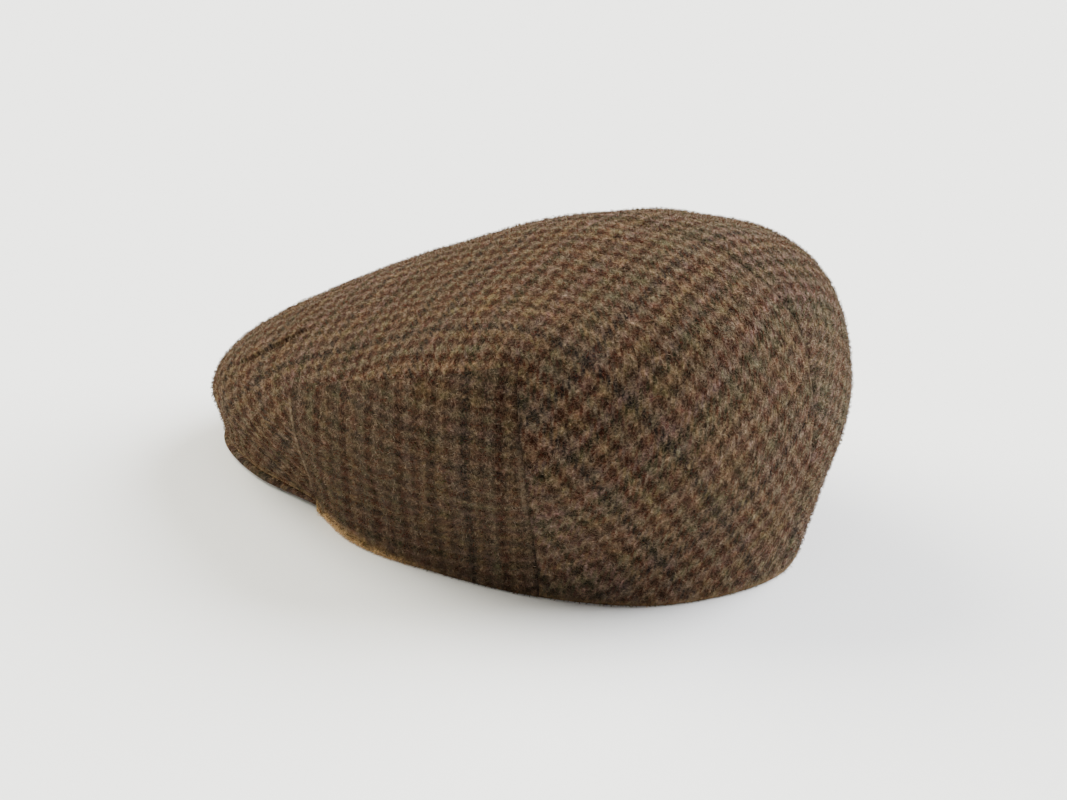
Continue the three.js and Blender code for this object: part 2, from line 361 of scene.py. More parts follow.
def gridNumbers(turns, levels):  # a number for each point, the same for all that meet at the apex
    ids = np.arange(len(turns) * len(levels)).reshape(len(turns), len(levels))
    if levels[-1] == apexLevel:
        ids[:, -1] = ids[0, -1]
    return ids


def clothCells(turns, levels, isSide):  # a top half leaves the cells of the side panel out
    t, v = (turns[:-1] + turns[1:])[:, None] / 2, (levels[:-1] + levels[1:])[None, :] / 2
    return isSide | ~((temple < t) & (t < earBack) & (v < shoulder))


def cellLoop(ids, i, j):
    return [ids[i, j], ids[i + 1, j], ids[i + 1, j + 1], ids[i, j + 1]]


def withoutRepeats(loop):
    return [int(v) for k, v in enumerate(loop) if v != loop[k - 1]]


def usedPoints(faces, count):  # the points that the faces use, and the faces numbered by them
    used = np.unique(np.concatenate(faces))
    order = np.full(count, -1)
    order[used] = np.arange(len(used))
    return used, [[int(order[v]) for v in face] for face in faces]


def unwrapCloth(points, turns, levels, isSide):
    ids = gridNumbers(turns, levels)
    cells = zip(*np.nonzero(clothCells(turns, levels, isSide)))
    used, faces = usedPoints([withoutRepeats(cellLoop(ids, i, j)) for i, j in cells], ids.size)
    mesh = bpy.data.meshes.new("flatCloth")
    mesh.from_pydata((points.reshape(-1, 3)[used] * 0.01).tolist(), [], faces)  # any size unwraps alike
    mesh.uv_layers.new(name="flat")
    piece = placed("flatCloth", mesh)
    bpy.context.view_layer.objects.active = piece
    bpy.ops.object.select_all(action="DESELECT")
    piece.select_set(True)
    bpy.ops.object.mode_set(mode="EDIT")
    bpy.ops.mesh.select_all(action="SELECT")
    bpy.ops.uv.unwrap(method="MINIMUM_STRETCH", fill_holes=False, correct_aspect=False, iterations=60,
                      margin=0.0)
    bpy.ops.object.mode_set(mode="OBJECT")
    loops = np.empty(len(mesh.loops), int)
    mesh.loops.foreach_get("vertex_index", loops)
    uv = np.empty(2 * len(mesh.loops))
    mesh.uv_layers["flat"].data.foreach_get("uv", uv)
    flat = np.full((ids.size, 2), np.nan)
    flat[used[loops]] = uv.reshape(-1, 2)
    bpy.data.objects.remove(piece)
    bpy.data.meshes.remove(mesh)
    return flat[ids]


def flattenCloth(turns, levels, isSide, grainWay):
    # lay the panel flat with little stretch, in millimetres, the grain running up the cloth
    points = crownGrid(turns, levels)
    flat = unwrapCloth(points, turns, levels, isSide)
    e1, e2 = points[1:, :-1] - points[:-1, :-1], points[:-1, 1:] - points[:-1, :-1]
    f1, f2 = flat[1:, :-1] - flat[:-1, :-1], flat[:-1, 1:] - flat[:-1, :-1]
    way, weight = grainWay(levels[:-1], e2)
    a, b, g = (e1 * e1).sum(2), (e2 * e2).sum(2), (e1 * e2).sum(2)
    p, q = (way * e1).sum(2), (way * e2).sum(2)
    det = a * b - g * g
    flatWay = ((p * b - q * g) / det)[:, :, None] * f1 + ((q * a - p * g) / det)[:, :, None] * f2
    area3 = np.linalg.norm(np.cross(e1, e2), axis=2)
    area2 = np.abs(f1[:, :, 0] * f2[:, :, 1] - f1[:, :, 1] * f2[:, :, 0])
    good = np.isfinite(area2) & (area3 > 1e-3)
    scale = math.sqrt(area3[good].sum() / area2[good].sum())
    lengths = np.linalg.norm(flatWay[good], axis=1, keepdims=True)
    mean = (flatWay[good] * weight[good][:, None] / lengths).sum(0)
    angle = math.pi / 2 - math.atan2(mean[1], mean[0])
    spin = np.array([[math.cos(angle), -math.sin(angle)], [math.sin(angle), math.cos(angle)]])
    stretch = np.sqrt(area2[good] * scale ** 2 / area3[good])
    print("cloth laid flat, stretch", stretch.min().round(2), "to", stretch.max().round(2))
    return flat @ spin.T * scale, area3[good].sum()


def cutSize(flat, area):  # width, length and area of the flat panel, in metres
    width, length = (np.nanmax(flat, (0, 1)) - np.nanmin(flat, (0, 1))) * 0.001
    return float(width), float(length), float(area) * 1e-6


def fillMissing(flat):  # carry values past the cut, for the cells at its edge
    gap = ~np.isfinite(flat[:, :, 0])
    while gap.any():
        total, count = np.zeros_like(flat), np.zeros(flat.shape[:2])
        for axis in (0, 1):
            for step in (-1, 1):
                moved = np.roll(flat, step, axis)
                ok = np.isfinite(moved[:, :, 0])
                total[ok] += moved[ok]
                count += ok
        fill = gap & (count > 0)
        flat[fill] = total[fill] / count[fill][:, None]
        gap &= ~fill
    return flat


def sampleGrid(coarseTurns, coarseLevels, flat, turns, levels):
    i = np.clip(np.searchsorted(coarseTurns, turns, side="right") - 1, 0, len(coarseTurns) - 2)
    j = np.clip(np.searchsorted(coarseLevels, levels, side="right") - 1, 0, len(coarseLevels) - 2)
    s = ((turns - coarseTurns[i]) / (coarseTurns[i + 1] - coarseTurns[i]))[:, None, None]
    t = ((levels - coarseLevels[j]) / (coarseLevels[j + 1] - coarseLevels[j]))[None, :, None]
    low = flat[i][:, j] * (1 - s) + flat[i + 1][:, j] * s
    high = flat[i][:, j + 1] * (1 - s) + flat[i + 1][:, j + 1] * s
    return low * (1 - t) + high * t


def easedGrain(flat, seed):  # worn cloth: its lines wander a little
    reach, length = clothShape["wander"]
    place = np.concatenate([flat, np.zeros((*flat.shape[:2], 1))], 2)
    return flat + reach * np.stack([unevenHand(place, length, seed), unevenHand(place, length, seed + 1)], 2)


def writeMesh(name, points, faces, **pointValues):
    mesh = bpy.data.meshes.new(name)
    mesh.from_pydata((points * 0.001).tolist(), [], faces)
    for key, values in pointValues.items():
        attribute = mesh.attributes.new(key, "FLOAT_VECTOR", "POINT")
        attribute.data.foreach_set("vector", np.ascontiguousarray(values, dtype=np.float32).ravel())
    mesh.polygons.foreach_set("use_smooth", [True] * len(mesh.polygons))
    mesh.validate()
    return placed(name, mesh)


def shellPiece(name, turns, levels, isSide, flat):
    mirror = name.endswith("right")
    outer, inner, sewn = clothShell(turns, levels, isSide)
    ids = gridNumbers(turns, levels)
    far = ids.size  # numbers of the inner face follow those of the outer
    faces = []

    def add(loop):
        loop = withoutRepeats(loop)
        if len(loop) > 2:
            faces.append(loop[::-1] if mirror else loop)

    kept = clothCells(turns, levels, isSide)
    framed = np.pad(kept, 1)
    for i, j in zip(*np.nonzero(kept)):
        cell = cellLoop(ids, i, j)
        add(cell)
        add([v + far for v in cell[::-1]])
        beside = (framed[i + 1, j], framed[i + 2, j + 1], framed[i + 1, j + 2], framed[i, j + 1])
        for k, inside in enumerate(beside):
            p, q = cell[k], cell[(k + 1) % 4]
            if not inside and p != q:
                add([q, p, p + far, q + far])
    points = np.concatenate([outer.reshape(-1, 3), inner.reshape(-1, 3)])
    grain = np.concatenate([flat.reshape(-1, 2)] * 2)
    grain = np.concatenate([grain, np.repeat([0.0, 1.0], far)[:, None]], 1)  # 1 on the inner face
    sewn = np.concatenate([sewn.reshape(-1, 3)] * 2)
    points[:, 0] += clothShape["middleGap"] / 2
    points[:, 1] += crownShape["shiftBack"]
    if mirror:
        points[:, 0] *= -1
        grain[:, 0] *= -1
    used, faces = usedPoints(faces, len(points))
    return writeMesh(name, points[used], faces, grain=grain[used], sewn=sewn[used])


# two top halves, cut with the grain running front to back over the top
topPanel = {
    "step": 1.5,
    "turnSpan": 30,  # rough width of one turn
    "coarsePerSection": 5,
    "coarseRows": (3, 8, 8, 8, 10),
    "grainFrom": (3.3, 3.8),  # levels that set the way of the grain
    "fineStep": 0.55,  # round the fold over the brow
    "foldTurns": (1.7, 2.4),
    "foldTurnSpan": 45,
    "foldLevels": (2.6, 3.5),
    "foldLevelSpan": 47,
    "wanderSeed": 21,
}


def grainWeight(levels, limits, turnCount):
    return np.tile(smooth(levels, *limits), (turnCount, 1)) + 1e-6


def topGrain(levels, climb):
    way = np.zeros_like(climb)
    way[:, :, 1] = 1
    return way, grainWeight(levels, topPanel["grainFrom"], len(climb))


def makeTop():
    p = topPanel
    coarseTurns, coarseLevels = coarseGrid(0, halfTurn, p)
    flat, area = flattenCloth(coarseTurns, coarseLevels, False, topGrain)
    cut = cutSize(flat, area)
    turns = withEdges(0, halfTurn, p["step"], [0, temple, earBack, halfTurn], p["turnSpan"])
    levels = levelRows(p["step"], apexLevel)
    turns = closerSteps(turns, *p["foldTurns"], p["fineStep"] / p["foldTurnSpan"])
    levels = closerSteps(levels, *p["foldLevels"], p["fineStep"] / p["foldLevelSpan"])
    fine = sampleGrid(coarseTurns, coarseLevels, fillMissing(flat), turns, levels)
    fine = easedGrain(fine - fine[0, -1], p["wanderSeed"])
    names = ("crown_top_left", "crown_top_right")
    return [shellPiece(name, turns, levels, False, fine) for name in names], cut


# side panels, grain upright over the ear
sidePanel = {
    "step": 1.15,
    "turnSpan": 34,
    "levelSpan": 25,  # rough height of one level, under the shoulder
    "coarsePerSection": 6,
    "coarseRows": (3, 7, 7),
    "grainFrom": (0.5, 1.0),
    "acrossBars": (-0.43, 0.90, 0.06),
    "trueRow": 1.7,  # level where the bars keep their true spacing
    "evenBars": 0.6,
    "wanderSeed": 34,
}


def sideGrain(levels, climb):
    return climb, grainWeight(levels, sidePanel["grainFrom"], len(climb))


def uprightGrain(points, across, levels):  # the cloth is pulled, so its bars stand upright over the ear
    p = sidePanel
    reach = points @ np.array(p["acrossBars"])
    row = np.argmin(np.abs(levels - p["trueRow"]))
    order = np.argsort(reach[:, row])
    known, value = reach[order, row], across[order, row]
    even = np.interp(known, known[[0, -1]], value[[0, -1]])
    value = value + (even - value) * p["evenBars"]
    slope = (value[-1] - value[0]) / (known[-1] - known[0])
    inside = np.interp(reach, known, value)
    return inside + slope * (reach - np.clip(reach, known[0], known[-1]))


def makeSides():
    p, gap = sidePanel, clothShape["seamGap"]
    coarseTurns, coarseLevels = coarseGrid(temple, earBack, p)
    flat, area = flattenCloth(coarseTurns, coarseLevels, True, sideGrain)
    cut = cutSize(flat, area)
    flat[:, :, 0] = uprightGrain(crownGrid(coarseTurns, coarseLevels), flat[:, :, 0], coarseLevels)
    turns = withEdges(temple, earBack, p["step"], [temple, earBack], p["turnSpan"])
    levels = levelRows(p["step"], shoulder)
    turns[0] += gap / p["turnSpan"]
    turns[-1] -= gap / p["turnSpan"]
    levels[-1] -= gap / p["levelSpan"]
    fine = easedGrain(sampleGrid(coarseTurns, coarseLevels, flat, turns, levels), p["wanderSeed"])
    names = ("side_panel_left", "side_panel_right")
    return [shellPiece(name, turns, levels, True, fine) for name in names], cut


# stiff peak under the front edge
peakShape = {
    "lip": 1.0,  # shows past the crown in the middle
    "lift": 2.4,  # of its corners
    "rise": 12,
    "gap": 0.3,  # under the crown's edge
    "tuck": 2,  # from the crown's edge to where the peak begins to rise
    "end": 2.95,
    "headHalfWidth": 77,
    "headHalfLength": 96,
    "steps": 220,
    "climbSteps": 16,
    "lipSteps": 13,
    "backSteps": 7,
    "backRound": 0.5,
}


def peakLoop(turn):
    p = peakShape
    hem = ringAt(rings[0], np.array([turn]))[0]
    angle = math.atan2(hem[0], -hem[1])
    hemOut = math.hypot(hem[0], hem[1])
    forehead = p["headHalfWidth"] * p["headHalfLength"] / math.hypot(
        p["headHalfLength"] * math.sin(angle), p["headHalfWidth"] * math.cos(angle))
    toCorner = (turn / p["end"]) ** 2
    lift = p["lift"] * toCorner
    thick = hem[2] - p["gap"] - lift
    rise = p["rise"] * (1 - toCorner)
    edge, under = hemOut + p["lip"] * (1 - toCorner), hemOut - p["tuck"]
    climb = [(under + (forehead - under) * s, lift + rise * s * s * (3 - 2 * s))
             for s in np.linspace(0, 1, p["climbSteps"])]
    half = thick / 2
    lip = [(edge - half + half * math.sin(a), lift + half - half * math.cos(a))
           for a in np.linspace(0, math.pi, p["lipSteps"])]
    back = [(forehead - half * p["backRound"] * math.sin(a), lift + rise + half + half * math.cos(a))
            for a in np.linspace(0, math.pi, p["backSteps"])[1:-1]]
    loop = climb[::-1] + lip + [(o, u + thick) for o, u in climb] + back
    points = np.array([(o * math.sin(angle), -o * math.cos(angle), u) for o, u in loop])
    path = np.concatenate([[0], np.cumsum(np.linalg.norm(np.diff(loop, axis=0), axis=1))])
    return points, path


def makePeak():
    p = peakShape
    turns = np.linspace(-p["end"], p["end"], p["steps"] + 1)
    loops, paths = zip(*[peakLoop(t) for t in turns])
    loops = np.array(loops)
    n, m = loops.shape[:2]
    faces = []
    for i in range(n - 1):
        for j in range(m):
            k = (j + 1) % m
            faces.append([i * m + j, (i + 1) * m + j, (i + 1) * m + k, i * m + k])
    faces.append(list(range(m)))
    faces.append(list(range((n - 1) * m, n * m))[::-1])
    lip = loops[:, m // 2]
    around = np.concatenate([[0], np.cumsum(np.linalg.norm(np.diff(lip, axis=0), axis=1))])
    grain = np.stack([np.tile(around[:, None], (1, m)), np.array(paths), np.zeros((n, m))], 2).reshape(-1, 3)
    points = loops.reshape(-1, 3)
    points[:, 1] += crownShape["shiftBack"]
    return writeMesh("peak_cover", points, faces, grain=grain, sewn=np.zeros((n * m, 3)))


tops, topCut = makeTop()
print("top halves made", [len(o.data.polygons) for o in tops])
sides, sideCut = makeSides()
print("side panels made", [len(o.data.polygons) for o in sides])
peak = makePeak()
print("peak made", len(peak.data.polygons))


# tweed: pale ground with soft dark stripes both ways, felted and hairy
tweed = {
    "repeat": (6.6, 6.6, 1.0),  # millimetres from dark stripe to dark stripe, across and along
    "darkShare": 0.53,
    "softEdge": 0.3,
    "dark": {  # screen colours of the dyed yarns
        "Rust": (58, 23, 9),
        "Brown": (44, 23, 9),
        "Wine": (52, 17, 15),
        "Green": (29, 30, 13),
        "Navy": (27, 23, 23),
    },
    "light": {
        "Tan": (96, 79, 64),
        "Gold": (99, 80, 59),
        "Ash": (95, 76, 66),
        "Sage": (89, 78, 61),
    },
    "evenDyes": ("Navy", "Brown", "Green", "Rust"),  # of every other dark stripe
    "oddDyes": ("Rust", "Wine", "Green"),
    "fibre": (172, 151, 127),
    "hair": 1.5,  # how far the felted yarns stray, in millimetres
    "strands": 0.22,  # pale hairs lying over every colour
    "nap": 1.1,  # how much hairs of the yarn itself catch the light
    "skip": 0.12,  # how much weaker every other dark stripe is
    "twill": 0.75,  # teeth between the dark spots
    "twillSlant": -1.0,
    # ranges: a base, and what a value of one adds to it
    "darkRange": (0.82, 0.3),
    "lightRange": (0.85, 0.3),
    "spotRange": (1.1, -0.48),  # dark over dark is a solid spot
    "overRange": (-0.8, 1.6),
    "mottleRange": (0.15, 1.7),
    "tuftRange": (-0.5, 3.0),
    "tintRange": (0.75, 0.5),
    "patchRange": (-2.25, 5.0),
    "napBase": 0.7,
    "overLimits": (0.08, 0.92),
    "tuftLimits": (0.35, 1.9),
    # noises: marks in a millimetre, detail and roughness
    "strayNoise": (0.5, 3.0, 0.6),
    "overNoise": (0.8, 2.0, 0.6),
    "mottleNoise": (1.0, 3.0, 0.7),
    "tuftNoise": (0.42, 2.0, 0.5),
    "tintNoise": (0.2, 1.0, 0.5),
    "strandNoise": (1.0, 1.0, 0.5),
    "patchNoise": (1.3, 1.0, 0.5),
    "strandWidth": 0.045,
    "strandRuns": [  # shift, and scale across and along
        (5.0, (0.55, 0.3, 1.0)),
        (71.0, (0.33, 0.5, 1.0)),
        (33.0, (0.45, 0.45, 1.0)),
        (19.0, (0.7, 0.5, 1.0)),
        (52.0, (0.5, 0.75, 1.0)),
    ],
}
sideCloth = {  # the side panels' own values, and painted shade that darkens the whole panel
    "Repeat": (7.0, 5.6, 1.0),
    "Warp Skip": 0.5,
    "Warp Share": 0.6,
    # painted shade: the side panels are drawn darker than the lamps make them
    "Painted Shade": 0.64,
    "Strands": 0.14,
    "Twill": 0.25,
}


def dye(colour):  # screen bytes to the renderer's linear colour
    linear = [(v / 255 / 12.92) if v < 10.3 else ((v / 255 + 0.055) / 1.055) ** 2.4 for v in colour]
    return (*linear, 1)


def addNode(tree, kind, **settings):
    node = tree.nodes.new(kind)
    for key, value in settings.items():
        if key == "inputs":
            for socket, v in value.items():
                node.inputs[socket].default_value = v
        else:
            setattr(node, key, value)
    return node


def plug(tree, socket, value):
    if isinstance(value, (int, float, tuple)):
        socket.default_value = value
    elif value is not None:
        tree.links.new(value, socket)


def maths(tree, operation, *values):
    node = addNode(tree, "ShaderNodeMath", operation=operation)
    for socket, value in zip(node.inputs, values):
        plug(tree, socket, value)
    return node.outputs[0]


def ranged(tree, value, limits):
    base, more = limits
    return maths(tree, "MULTIPLY_ADD", value, more, base)


def within(tree, value, low, high):
    return maths(tree, "MINIMUM", maths(tree, "MAXIMUM", value, low), high)


def vectorMaths(tree, operation, a, b=None, scale=None):
    node = addNode(tree, "ShaderNodeVectorMath", operation=operation)
    plug(tree, node.inputs[0], a)
    plug(tree, node.inputs[1], b)
    if scale is not None:
        plug(tree, node.inputs["Scale"], scale)
    return node.outputs[0]


def mixColour(tree, factor, a, b):
    node = addNode(tree, "ShaderNodeMix", data_type="RGBA")
    for socket, value in ((0, factor), (6, a), (7, b)):
        plug(tree, node.inputs[socket], value)
    return node.outputs[2]


def noiseOf(tree, vector, noise, output="Fac"):
    scale, detail, rough = noise
    node = addNode(tree, "ShaderNodeTexNoise", inputs={"Scale": scale, "Detail": detail, "Roughness": rough})
    tree.links.new(vector, node.inputs["Vector"])
    return node.outputs[output]


def speckOf(tree, value):  # one random number for each whole value
    node = addNode(tree, "ShaderNodeTexWhiteNoise", noise_dimensions="1D")
    tree.links.new(value, node.inputs["W"])
    return node.outputs["Value"]


def splitOf(tree, vector):
    node = addNode(tree, "ShaderNodeSeparateXYZ")
    tree.links.new(vector, node.inputs[0])
    return node.outputs


def newGroup(name, inputs, outputs):
    group = bpy.data.node_groups.new(name, "ShaderNodeTree")
    for key, (kind, value) in inputs.items():
        socket = group.interface.new_socket(key, in_out="INPUT", socket_type="NodeSocket" + kind)
        if value is not None:
            socket.default_value = value
    for key, kind in outputs.items():
        group.interface.new_socket(key, in_out="OUTPUT", socket_type="NodeSocket" + kind)
    return group, addNode(group, "NodeGroupInput").outputs, addNode(group, "NodeGroupOutput").inputs


stripeInputs = {"Warp Skip": ("Float", tweed["skip"]), "Weft Skip": ("Float", tweed["skip"])}
for yarns in (tweed["dark"], tweed["light"]):
    stripeInputs.update({name: ("Color", dye(colour)) for name, colour in yarns.items()})


def makeStripes():  # stripe colours at a place counted in repeats
    t, given, out = newGroup("tweedStripes", {
        "Place": ("Vector", None), "Over": ("Float", 0.5), **stripeInputs}, {"Color": "Color"})

    def oneOf(names, pick):  # each stripe takes one of these dyes
        colour = given[names[0]]
        for k, name in enumerate(names[1:], 1):
            colour = mixColour(t, maths(t, "GREATER_THAN", pick, k / len(names)), colour, given[name])
        return colour

    def stripe(x, skip, dyeSeed):
        depthSeed, paleSeed = 200.0, 300.0
        band = maths(t, "FLOOR", x)
        away = maths(t, "ABSOLUTE", maths(t, "SUBTRACT", maths(t, "SUBTRACT", x, band), 0.5))
        edge = maths(t, "SUBTRACT", tweed["darkShare"] / 2 + tweed["softEdge"] / 2, away)
        mask = within(t, maths(t, "DIVIDE", edge, tweed["softEdge"]), 0.0, 1.0)
        odd = maths(t, "FLOORED_MODULO", band, 2.0)
        depth = maths(t, "SUBTRACT", 1.0, maths(t, "MULTIPLY", odd, skip))
        uneven = speckOf(t, maths(t, "ADD", band, dyeSeed + depthSeed))
        depth = maths(t, "MULTIPLY", depth, ranged(t, uneven, tweed["darkRange"]))
        pick = speckOf(t, maths(t, "ADD", band, dyeSeed))
        dark = mixColour(t, odd, oneOf(tweed["evenDyes"], pick), oneOf(tweed["oddDyes"], pick))
        ground = maths(t, "FLOOR", maths(t, "ADD", x, dyeSeed + 0.5))
        light = oneOf(list(tweed["light"]), speckOf(t, ground))
        paler = speckOf(t, maths(t, "ADD", ground, paleSeed))
        light = vectorMaths(t, "SCALE", light, scale=ranged(t, paler, tweed["lightRange"]))
        mask = maths(t, "MULTIPLY", mask, depth)
        return mixColour(t, mask, light, dark), mask

    across, along, _ = splitOf(t, given["Place"])
    warp, warpMask = stripe(across, given["Warp Skip"], 11.0)
    weft, weftMask = stripe(along, given["Weft Skip"], 47.0)
    both = maths(t, "MULTIPLY", warpMask, weftMask)
    colour = vectorMaths(t, "SCALE", mixColour(t, given["Over"], weft, warp),
                         scale=ranged(t, both, tweed["spotRange"]))
    t.links.new(colour, out["Color"])
    return t


stripesGroup = makeStripes()


def makeTweed():  # soft stripes seen through a felted, hairy surface
    t, given, out = newGroup("tweedCheck", {
        "Grain": ("Vector", None), "Repeat": ("Vector", tweed["repeat"]), "Hair": ("Float", tweed["hair"]),
        "Strands": ("Float", tweed["strands"]), "Nap": ("Float", tweed["nap"]), "Painted Shade": ("Float", 1.0),
        "Fibre": ("Color", dye(tweed["fibre"])), "Warp Share": ("Float", 0.5),
        "Twill": ("Float", tweed["twill"]), **stripeInputs}, {"Color": "Color", "Height": "Float"})
    grain = given["Grain"]

    stray = vectorMaths(t, "SUBTRACT", noiseOf(t, grain, tweed["strayNoise"], "Color"), (0.5, 0.5, 0.5))
    place = vectorMaths(t, "ADD", grain, vectorMaths(t, "SCALE", stray, scale=given["Hair"]))
    inRepeats = vectorMaths(t, "DIVIDE", place, given["Repeat"])
    across, along, _ = splitOf(t, inRepeats)
    slant = maths(t, "MULTIPLY_ADD", along, tweed["twillSlant"], across)
    teeth = maths(t, "SINE", maths(t, "MULTIPLY", slant, 4 * math.pi))  # two to a repeat
    over = ranged(t, noiseOf(t, grain, tweed["overNoise"]), tweed["overRange"])
    over = maths(t, "ADD", over, maths(t, "MULTIPLY", teeth, given["Twill"]))
    over = within(t, maths(t, "ADD", over, given["Warp Share"]), *tweed["overLimits"])
    stripes = addNode(t, "ShaderNodeGroup", node_tree=stripesGroup)
    t.links.new(inRepeats, stripes.inputs["Place"])
    t.links.new(over, stripes.inputs["Over"])
    for name in stripeInputs:
        t.links.new(given[name], stripes.inputs[name])

    mottle = ranged(t, noiseOf(t, grain, tweed["mottleNoise"]), tweed["mottleRange"])
    tuft = ranged(t, noiseOf(t, grain, tweed["tuftNoise"]), tweed["tuftRange"])
    mottle = maths(t, "MULTIPLY", mottle, within(t, tuft, *tweed["tuftLimits"]))
    # painted shade: a value below one darkens the whole panel's colour
    shade = maths(t, "MULTIPLY", mottle, given["Painted Shade"])
    cloth = vectorMaths(t, "SCALE", stripes.outputs["Color"], scale=shade)
    tintBase, tintMore = tweed["tintRange"]  # patches of warmer and greener wool
    tint = vectorMaths(t, "SCALE", noiseOf(t, grain, tweed["tintNoise"], "Color"), scale=tintMore)
    cloth = vectorMaths(t, "MULTIPLY", cloth, vectorMaths(t, "ADD", tint, (tintBase,) * 3))

    def strand(shift, scale):  # short stretches of thin curling lines
        spot = vectorMaths(t, "ADD", vectorMaths(t, "MULTIPLY", grain, scale), (shift, -shift, 0.0))
        wave = maths(t, "ABSOLUTE", maths(t, "SUBTRACT", noiseOf(t, spot, tweed["strandNoise"]), 0.5))
        thin = maths(t, "MINIMUM", maths(t, "DIVIDE", wave, tweed["strandWidth"]), 1.0)
        patch = within(t, ranged(t, noiseOf(t, spot, tweed["patchNoise"]), tweed["patchRange"]), 0.0, 1.0)
        return maths(t, "MULTIPLY", maths(t, "SUBTRACT", 1.0, thin), patch)

    loose = strand(*tweed["strandRuns"][0])
    for run in tweed["strandRuns"][1:]:
        loose = maths(t, "MAXIMUM", loose, strand(*run))
    lit = maths(t, "MULTIPLY_ADD", loose, given["Nap"], tweed["napBase"])
    cloth = vectorMaths(t, "SCALE", cloth, scale=lit)
    cloth = mixColour(t, maths(t, "MULTIPLY", loose, given["Strands"]), cloth, given["Fibre"])
    t.links.new(cloth, out["Color"])
    t.links.new(maths(t, "ADD", loose, mottle), out["Height"])
    return t


tweedGroup = makeTweed()

# painted shade in the seam valleys and the fold over the brow, painted highlight on pale seam edges, and a
# frayed hem
paintedLightAndFrayLook = {
    # how dark the painted shade in the seam valleys and the brow fold is
    "valley": 0.5,
    # colour of the painted highlight on the pale seam edges
    "edge": (172, 150, 122),
    "frayed": (216, 178, 126),
    "fuzzNoise": (0.9, 3.0, 0.7),
    "fuzzRange": (-0.8, 3.0),
    "most": 0.8,
}


def makePaintedLightAndFray():
    w = paintedLightAndFrayLook
    t, given, out = newGroup("sewnPaintedLightAndFray", {
        "Color": ("Color", None), "Sewn": ("Vector", None), "Grain": ("Vector", None),
        "Valley": ("Float", w["valley"]), "Edge": ("Color", dye(w["edge"])),
        "Frayed": ("Color", dye(w["frayed"]))}, {"Color": "Color"})
    dark, frayed, pale = splitOf(t, given["Sewn"])
    fuzz = ranged(t, noiseOf(t, given["Grain"], w["fuzzNoise"]), w["fuzzRange"])

    # clips a mask roughened by noise, for the frayed hem and for the painted highlight on the seam edges
    def worn(mask):
        return within(t, maths(t, "MULTIPLY", mask, fuzz), 0.0, w["most"])

    # painted shade: the colour is darkened in the seam valleys and the fold over the brow
    valley = maths(t, "MULTIPLY", dark, given["Valley"])
    colour = vectorMaths(t, "SCALE", given["Color"], scale=maths(t, "SUBTRACT", 1.0, valley))
    colour = mixColour(t, worn(frayed), colour, given["Frayed"])
    # painted highlight: pale colour along the seam edges
    t.links.new(mixColour(t, worn(pale), colour, given["Edge"]), out["Color"])
    return t


paintedLightAndFrayGroup = makePaintedLightAndFray()

clothFinish = {
    "Roughness": 0.95,
    "Specular IOR Level": 0.03,
    "Sheen Weight": 0.08,
    "Sheen Roughness": 0.35,
    "Sheen Tint": dye((226, 196, 160)),
}
clothRelief = {"Strength": 1.0, "Distance": 0.0011}


def tweedMaterial(name, ownValues):
    material = bpy.data.materials.new(name)
    material.use_nodes = True
    tree = material.node_tree
    tree.nodes.clear()
    grain = addNode(tree, "ShaderNodeAttribute", attribute_type="GEOMETRY", attribute_name="grain")
    sewn = addNode(tree, "ShaderNodeAttribute", attribute_type="GEOMETRY", attribute_name="sewn")
    cloth = addNode(tree, "ShaderNodeGroup", node_tree=tweedGroup, inputs=ownValues)
    # adds the painted shade, the painted highlight and the frayed hem
    paintedLightAndFray = addNode(tree, "ShaderNodeGroup", node_tree=paintedLightAndFrayGroup)
    bump = addNode(tree, "ShaderNodeBump", inputs=clothRelief)
    shader = addNode(tree, "ShaderNodeBsdfPrincipled", inputs=clothFinish)
    out = addNode(tree, "ShaderNodeOutputMaterial")
    for source, target in (
            (grain.outputs["Vector"], cloth.inputs["Grain"]),
            (grain.outputs["Vector"], paintedLightAndFray.inputs["Grain"]),
            (sewn.outputs["Vector"], paintedLightAndFray.inputs["Sewn"]),
            (cloth.outputs["Color"], paintedLightAndFray.inputs["Color"]),
            (cloth.outputs["Height"], bump.inputs["Height"]),
            (paintedLightAndFray.outputs["Color"], shader.inputs["Base Color"]),
            (bump.outputs["Normal"], shader.inputs["Normal"]),
            (shader.outputs["BSDF"], out.inputs["Surface"])):
        tree.links.new(source, target)
    return material


def plainMaterial(name, values):
    material = bpy.data.materials.new(name)
    material.use_nodes = True
    shader = material.node_tree.nodes["Principled BSDF"]
    for socket, value in values.items():
        shader.inputs[socket].default_value = value
    return material


topTweed = tweedMaterial("top_tweed", {})
sideTweed = tweedMaterial("side_tweed", sideCloth)
peakTweed = tweedMaterial("peak_tweed", {})

for piece, node, slotName, cloth in (
        (tops[0], "top_left", "top_tweed", topTweed),
        (tops[1], "top_right", "top_tweed", topTweed),
        (sides[0], "side_left", "side_tweed", sideTweed),
        (sides[1], "side_right", "side_tweed", sideTweed),
        (peak, "peak", "peak_tweed", peakTweed)):
    piece.data.materials.append(cloth)
    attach(piece, "root")
    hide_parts(node)
print("tweed laid on")


